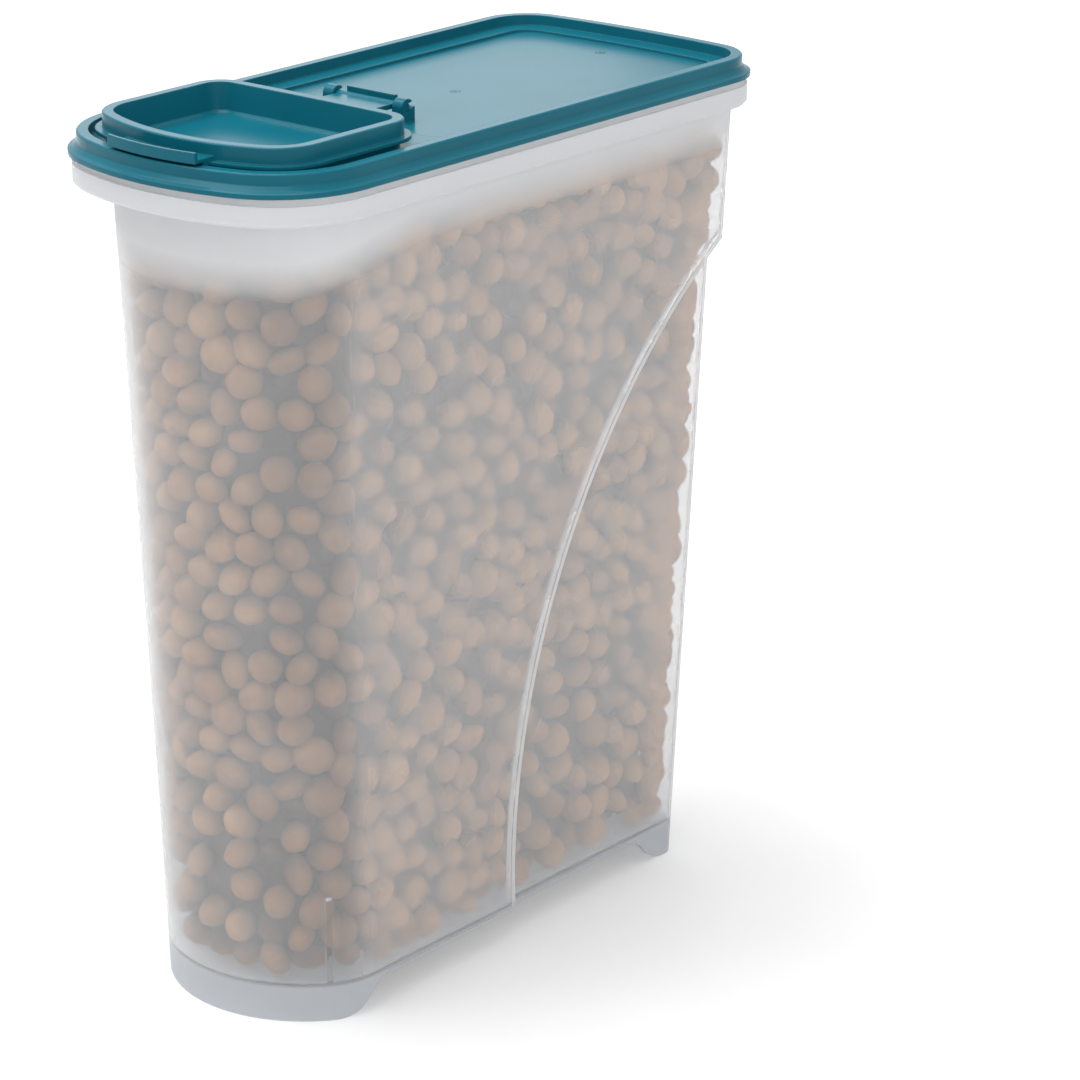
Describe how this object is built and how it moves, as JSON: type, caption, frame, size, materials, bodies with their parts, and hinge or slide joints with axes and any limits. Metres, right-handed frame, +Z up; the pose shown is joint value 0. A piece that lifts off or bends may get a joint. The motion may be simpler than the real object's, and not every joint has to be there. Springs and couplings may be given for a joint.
{
  "type": "pet food storage container",
  "caption": "Tall narrow frosted dry food keeper with a bowed pouring end, hand grip recess, press-on lid and hinged flap.",
  "frame": {"origin": "on the ground below the middle of the lid, which is the longest and widest piece", "axes": "+Z up, the pouring end faces -Y, the hand grip end faces +Y, +X across the width"},
  "size_m": [0.118, 0.252, 0.3061],
  "materials": {
    "frosted_tub": "natural polypropylene, milky and translucent, fine satin texture",
    "teal_lid": "teal moulded plastic, semi-gloss",
    "teal_flap": "teal moulded plastic, semi-gloss"
  },
  "bodies": {
    "tub_body": {"tub": "frosted_tub"},
    "lid_body": {"lid": "teal_lid"},
    "flap_body": {"pour_flap": "teal_flap"}
  },
  "joints": [
    {"name": "lid_lift", "type": "slide", "parent": "tub_body", "child": "lid_body", "axis": [0, 0, 1], "range_m": [0, 0.06]},
    {"name": "flap_hinge", "type": "hinge", "parent": "lid_body", "child": "flap_body", "pos_m": [0, -0.0215, 0.3003], "axis": [-1, 0, 0], "range_deg": [0, 175]}
  ]
}
